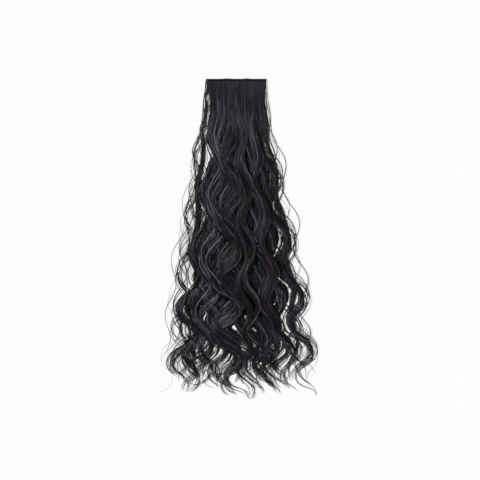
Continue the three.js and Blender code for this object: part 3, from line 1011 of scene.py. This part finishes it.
# %% Core of the sewn edge
EDGE_BUMPS = [(-0.3, 0.16, 0.8), (0.34, 0.1, 1.0)]
BUMP_TALL = 0.9
CORE_STATIONS = 90
CORE_SIDES = 16
CORE_CORNER = 0.6
CORE_INSET = 0.5
CORE_FOOT = 0.2
CORE_SHORTER = 0.8
CORE_END_THINNER = 0.35
CORE_END_POWER = 12
track_left, track_right = track_low[0] / MM, track_high[0] / MM
track_bottom, track_front, track_back = track_low[1] / MM, track_high[2] / MM, track_low[2] / MM
edge_top = EDGE_Y / MM


def edge_rise(share):
    """How far the folds lift the edge, in millimetres. share runs from -1 at its left end to 1."""
    bumps = [BUMP_TALL * tall * math.exp(-(((share - at) / reach) ** 2)) for at, reach, tall in EDGE_BUMPS]
    return sum(bumps)


def edge_place(share, shorter):
    """The X of a share of the edge, when it is shorter than the solid by so many millimetres."""
    return (track_left + track_right) / 2 + share * (track_right - track_left - shorter) / 2


def lofted(name, rings, material):
    """A closed mesh through rings of points in millimetres."""
    count = len(rings[0])
    points = [(x * MM, y * MM, z * MM) for ring in rings for x, y, z in ring]
    faces = [list(range(count))]
    for k in range(len(rings) - 1):
        for i in range(count):
            a, b = k * count + i, k * count + (i + 1) % count
            faces.append([a, a + count, b + count, b])
    faces.append([(len(rings) - 1) * count + i for i in reversed(range(count))])
    mesh = bpy.data.meshes.new(name)
    mesh.from_pydata(points, [], faces)
    mesh.materials.append(material)
    return new_object(name, mesh)


def rounded_section(low, high, count, corner):
    """Points of a rounded oblong in the plane across the weft, as (y, z) in millimetres."""
    middle = [(a + b) / 2 for a, b in zip(low, high)]
    half = [(b - a) / 2 for a, b in zip(low, high)]
    section = []
    for i in range(count):
        angle = math.tau * (i + 0.5) / count
        reach = [math.copysign(abs(v) ** corner, v) for v in (math.cos(angle), math.sin(angle))]
        section.append((middle[0] + half[0] * reach[0], middle[1] + half[1] * reach[1]))
    return section


def edge_core():
    rings = []
    for k in range(CORE_STATIONS + 1):
        share = k / CORE_STATIONS * 2 - 1
        thin = 1 - CORE_END_THINNER * abs(share) ** CORE_END_POWER
        top = edge_top + edge_rise(share) - CORE_INSET
        middle = (track_front + track_back) / 2
        half = (track_front - track_back) / 2 * thin - CORE_INSET
        low, high = (track_bottom + CORE_FOOT, middle - half), (top, middle + half)
        x = edge_place(share, CORE_SHORTER)
        rings.append([(x, y, z) for y, z in rounded_section(low, high, CORE_SIDES, CORE_CORNER)])
    return lofted("edge_core", rings, under_material)


edge_pieces = [edge_core()]
print(edge_pieces[0].name, len(edge_pieces[0].data.polygons), "faces")

# %% [markdown]
# Three hundred folds lie side by side over the core, each of its own thickness and height. A machine
# sews them down with two rows of slack stitches.

# %% Folds and stitches
FOLDS = 300
FOLD_RADIUS = (0.2, 0.34)
FOLD_TALLER = (-0.45, 0.1)
FOLD_DEEPER = 0.35
FOLD_LEAN = 0.5
FOLD_TONE = 0.62
FOLDS_SHORTER = 1
FOLD_ROUNDNESS = 0.33
STITCH_PITCH = 1.9
STITCH_ROWS = (-1.1, -2.7)
STITCH_SHARE = 0.86
STITCH_RADIUS = 0.19
STITCH_BULGE = 0.42
STITCH_SUNK = 0.25
STITCH_MARGIN = 1.2
STITCHES_SHORTER = 2


def fold_rows(draw):
    rows = []
    for k in range(FOLDS):
        share = (k + draw.uniform(0.1, 0.9)) / FOLDS * 2 - 1
        radius = draw.uniform(*FOLD_RADIUS)
        tall = edge_top - track_bottom + edge_rise(share) - radius + draw.uniform(*FOLD_TALLER)
        deeper = draw.uniform(0, FOLD_DEEPER)
        back = track_back - track_front + 2 * (radius + deeper)
        rows.append(arch(
            edge_place(share, FOLDS_SHORTER), track_bottom, track_front - radius - deeper,
            over=(draw.uniform(-FOLD_LEAN, FOLD_LEAN), 0, back), bulge=(tall, 0), radius=radius,
            tone=draw.uniform(0, FOLD_TONE),
        ))
    return rows


def stitch_rows(draw):
    rows = []
    count = int((track_right - track_left - STITCHES_SHORTER) / STITCH_PITCH)
    for below in STITCH_ROWS:
        for k in range(count):
            x = track_left + STITCH_MARGIN + k * STITCH_PITCH + draw.uniform(-0.15, 0.15)
            rows.append(arch(
                x, edge_top + below + draw.uniform(-0.12, 0.12), track_front - STITCH_SUNK,
                over=(STITCH_PITCH * STITCH_SHARE, draw.uniform(-0.25, 0.25), 0), bulge=(0, STITCH_BULGE),
                radius=STITCH_RADIUS,
            ))
    return rows


thread_material = streaked_material(
    "black thread", HAIR_TONES, roughness=(0.5, 0.75), gloss=0.3, grain=(2600, 2600, 2600), bump=0.6,
)
edge_pieces += [
    arches.grow("edge_folds", table_mesh(fold_rows(draw)), Roundness=FOLD_ROUNDNESS),
    arches.grow("edge_stitches", table_mesh(stitch_rows(draw)), Roundness=0.7, Material=thread_material),
]
print(len(edge_pieces), "pieces for the sewn edge")

# %% [markdown]
# Behind the roots is a ribbon of grosgrain, woven with a rib across it every 0.8 mm. The ribs are
# modelled, because the light that grazes the back shows them. Fine stitches run along its lower edge.

# %% Ribbon
RIB_PITCH = 0.8
RIB_TALL = 0.09
RIB_STEPS = 4
RIBBON_SIDES = 12
RIBBON_CORNER = 0.3
RIBBON_HEM = 0.1
RIBBON_SHEEN = {"Sheen Weight": 0.15}
RIBBON_TONES = [(0, (0.010, 0.0098, 0.0115)), (1, (0.02, 0.02, 0.022))]
HEM_MARGIN = 2
HEM_UP = 1.2
HEM_STITCH_SHARE = 0.7
HEM_BULGE = -0.25
HEM_RADIUS = 0.15
ribbon_left, ribbon_right = ribbon_low[0] / MM, ribbon_high[0] / MM
ribbon_foot, ribbon_under = ribbon_low[1] / MM, ribbon_low[2] / MM


def ribbon_piece(material):
    ribs = round((ribbon_right - ribbon_left) / RIB_PITCH)
    steps = ribs * RIB_STEPS
    foot, under = ribbon_foot + RIBBON_HEM, ribbon_under + RIB_TALL
    top, front = ribbon_high[1] / MM, ribbon_high[2] / MM - RIB_TALL
    rings = []
    for k in range(steps + 1):
        along = k / steps
        swell = RIB_TALL * abs(math.sin(math.pi * along * ribs))
        low, high = (foot - swell, under - swell), (top, front + swell)
        x = ribbon_left + along * (ribbon_right - ribbon_left)
        rings.append([(x, y, z) for y, z in rounded_section(low, high, RIBBON_SIDES, RIBBON_CORNER)])
    return lofted("ribbon", rings, material)


def ribbon_stitch_rows(draw):
    rows = []
    count = int((ribbon_right - ribbon_left - 2 * HEM_MARGIN) / STITCH_PITCH)
    for k in range(count):
        y = ribbon_foot + HEM_UP + draw.uniform(-0.08, 0.08)
        rows.append(arch(
            ribbon_left + HEM_MARGIN + k * STITCH_PITCH, y, ribbon_under,
            over=(STITCH_PITCH * HEM_STITCH_SHARE, 0, 0), bulge=(0, HEM_BULGE), radius=HEM_RADIUS,
        ))
    return rows


grosgrain = streaked_material(
    "grosgrain", RIBBON_TONES, roughness=(0.7, 0.9), gloss=0.25, grain=(900, 3200, 900), bump=0.5,
    more=RIBBON_SHEEN,
)
ribbon_stitches = table_mesh(ribbon_stitch_rows(draw))
ribbon_pieces = [
    ribbon_piece(grosgrain),
    arches.grow("ribbon_stitches", ribbon_stitches, Roundness=0.5, Material=thread_material),
]
print(len(ribbon_pieces), "pieces for the ribbon")

# %% [markdown]
# Each clip is tied to the ribbon with a few turns of thread through the four holes in its plate. The
# solids of the clips are exact already, so they keep their shape and only get their finish: black
# lacquer, a little uneven, with hair-fine scuffs where it slides through hair.

# %% Clips
LACQUER_TONES = [(0, (0.0075, 0.0075, 0.008)), (1, (0.02, 0.02, 0.02))]
LACQUER_COAT = {"Coat Weight": 0.5, "Coat Roughness": 0.12}
CLIPS = ("clip_left", "clip_right")
HOLE_INSET = 2.4
HOLE_DOWN = (4.4, 9.6)
THREAD_TURNS = 4
THREAD_PITCH = 0.3
THREAD_RADIUS = 0.16
THREAD_SUNK = 0.4
THREAD_PAST = 0.5
THREAD_BULGE = -1.55


def thread_rows(node):
    """The turns of thread through the four holes of a clip, round the ends of its plate."""
    low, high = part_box(node)
    rows = []
    for side, end in ((-1, low[0] / MM), (1, high[0] / MM)):
        for down in HOLE_DOWN:
            for k in range(THREAD_TURNS):
                y = high[1] / MM - down + (k - (THREAD_TURNS - 1) / 2) * THREAD_PITCH
                rows.append(arch(
                    end - side * HOLE_INSET, y, high[2] / MM + THREAD_SUNK,
                    over=(side * (HOLE_INSET + THREAD_PAST), 0, 0), bulge=(0, THREAD_BULGE),
                    radius=THREAD_RADIUS,
                ))
    return rows


lacquer = streaked_material(
    "black lacquer", LACQUER_TONES, roughness=(0.2, 0.42), gloss=0.5, grain=(1400, 240, 400), bump=0.06,
    more=LACQUER_COAT,
)
for node in CLIPS:
    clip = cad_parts[node]
    clip.data.materials.clear()
    clip.data.materials.append(lacquer)
clip_threads = arches.grow(
    "clip_threads", table_mesh([row for node in CLIPS for row in thread_rows(node)]),
    Roundness=FOLD_ROUNDNESS, Material=thread_material,
)

# %% [markdown]
# Last, each piece takes the place of the solid that it dresses and rides with it. The clips keep their
# solids, and the threads that tie them on ride along as well. The dressed part may stand only a little
# proud of its solids.

# %% Finish
for pieces, node, slot in (
    (hair_pieces, "hair_locks", "hair"),
    (edge_pieces, "weft_track", "weft"),
    (ribbon_pieces, "backing_ribbon", "ribbon"),
):
    for piece in pieces:
        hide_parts(node)
        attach(piece, "root")
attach(clip_threads, "root")
